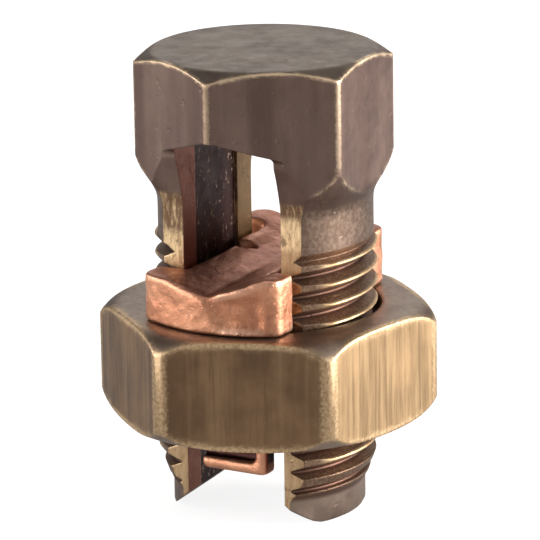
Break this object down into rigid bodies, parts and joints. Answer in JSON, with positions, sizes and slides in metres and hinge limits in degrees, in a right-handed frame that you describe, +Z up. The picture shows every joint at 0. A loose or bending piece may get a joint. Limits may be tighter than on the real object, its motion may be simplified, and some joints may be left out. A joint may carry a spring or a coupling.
{
  "type": "split bolt connector",
  "caption": "Slotted hex-headed bolt with threaded legs, hex nut and copper pressure bar that clamps wires side by side in the slot.",
  "frame": {"origin": "centre of the leg ends, on the plane the connector stands on, on the bolt's axis", "axes": "+Z up the bolt's axis to the head, Y along the slot where the wires lie, X across the slot from leg to leg"},
  "size_m": [0.0234, 0.0238, 0.0331],
  "materials": {
    "bolt_bronze": "forged bronze with a dark brown patina, worn golden at the edges and on the milled leg flats",
    "nut_brass": "brushed yellow-brown bronze, satin, with worn golden corners",
    "bar_copper": "satin forged copper, slightly grainy and pitted"
  },
  "bodies": {
    "bolt": {"split_bolt": "bolt_bronze"},
    "bar": {"pressure_bar": "bar_copper"},
    "nut": {"hex_nut": "nut_brass"}
  },
  "joints": [
    {"name": "bar_travel", "type": "slide", "parent": "bolt", "child": "bar", "axis": [0, 0, 1], "range_m": [-0.0113, 0.005]},
    {"name": "nut_turn", "type": "hinge", "parent": "bar", "child": "nut", "pos_m": [0, 0, 0.0108], "axis": [0, 0, 1], "range_deg": [-2880, 1275]}
  ],
  "couplings": [
    {"joint": "bar_travel", "follows": "nut_turn", "m_per_rad": 0.00022457}
  ]
}
